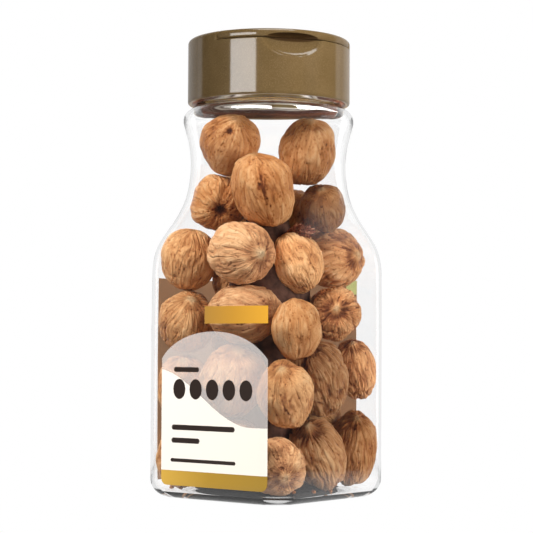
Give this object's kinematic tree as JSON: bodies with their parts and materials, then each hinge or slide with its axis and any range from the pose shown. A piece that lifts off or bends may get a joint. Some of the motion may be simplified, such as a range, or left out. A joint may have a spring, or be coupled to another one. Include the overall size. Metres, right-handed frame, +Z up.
{
  "type": "jar of whole nutmegs",
  "caption": "Clear square spice jar with a narrow waist, filled with whole nutmegs and shut by a bronze screw cap with a hinged pouring flap.",
  "frame": {"origin": "middle of the base, on the surface the jar stands on", "axes": "+Z up along the jar, front label facing -Y, the other side seen from the front corner facing +X"},
  "size_m": [0.0575, 0.0581, 0.1447],
  "materials": {
    "clear_plastic": "clear blown PET",
    "bronze_plastic": "moulded polypropylene with a pearl bronze pigment, satin",
    "cream_print": "printed label film, satin",
    "veil_print": "translucent white print on clear film",
    "gold_print": "gold print, satin",
    "back_print": "printed label paper",
    "nutmeg_shell": "dry matt seed surface, wrinkled"
  },
  "bodies": {
    "jar_body": {"jar": "clear_plastic", "cap": "bronze_plastic", "label_panel": "cream_print", "label_window": "veil_print", "label_band": "gold_print", "label_tag": "gold_print", "label_back": "back_print", "nutmegs": "nutmeg_shell"},
    "flap": {"cap_flap": "bronze_plastic"}
  },
  "joints": [
    {"name": "flap_hinge", "type": "hinge", "parent": "jar_body", "child": "flap", "pos_m": [0.01145, -0.00715, 0.1447], "axis": [-0.5299, -0.848, 0], "range_deg": [0, 105]}
  ]
}
